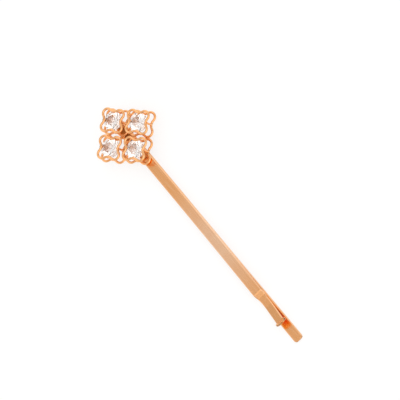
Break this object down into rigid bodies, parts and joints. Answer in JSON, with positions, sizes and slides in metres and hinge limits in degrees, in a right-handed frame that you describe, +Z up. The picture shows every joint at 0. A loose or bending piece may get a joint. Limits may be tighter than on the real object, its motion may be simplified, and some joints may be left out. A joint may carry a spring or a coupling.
{
  "type": "hair clip",
  "caption": "Straight flat-wire hair clip with sprung legs, a flared, turned-up tip and a square head of lobed open-wire settings holding round faceted stones.",
  "frame": {"origin": "Middle of the bounding box's base: midway along the clip's length, on its centreline, on the lower leg's underside.", "axes": "X runs from the head (-X) to the tips (+X), Z is up through the stones, Y is across the clip."},
  "size_m": [0.0636, 0.0146, 0.0046],
  "materials": {
    "strip": "spring steel strip, polished and plated in a warm rose gold",
    "setting_wire": "round brass wire, polished and plated in a warm rose gold",
    "solder": "solder, plated over with the rest",
    "stone": "clear faceted crystal glass"
  },
  "bodies": {
    "lower": {"lower_leg": "strip"},
    "upper": {"bend": "strip", "upper_leg": "strip", "solder_bed": "solder", "rear_gallery": "setting_wire", "rear_rim": "setting_wire", "rear_seat": "setting_wire", "rear_stone": "stone", "rear_post_1": "setting_wire", "rear_post_2": "setting_wire", "rear_post_3": "setting_wire", "rear_post_4": "setting_wire", "left_gallery": "setting_wire", "left_rim": "setting_wire", "left_seat": "setting_wire", "left_stone": "stone", "left_post_1": "setting_wire", "left_post_2": "setting_wire", "left_post_3": "setting_wire", "left_post_4": "setting_wire", "right_gallery": "setting_wire", "right_rim": "setting_wire", "right_seat": "setting_wire", "right_stone": "stone", "right_post_1": "setting_wire", "right_post_2": "setting_wire", "right_post_3": "setting_wire", "right_post_4": "setting_wire", "front_gallery": "setting_wire", "front_rim": "setting_wire", "front_seat": "setting_wire", "front_stone": "stone", "front_post_1": "setting_wire", "front_post_2": "setting_wire", "front_post_3": "setting_wire", "front_post_4": "setting_wire"}
  },
  "joints": [
    {"name": "grip_flex", "type": "hinge", "parent": "lower", "child": "upper", "pos_m": [-0.02959, 0, 0.00072], "axis": [0, -1, 0], "range_deg": [0, 9], "stiffness_Nm_per_rad": 0.15, "springref_deg": -17.19, "deforming": ["bend"]}
  ]
}
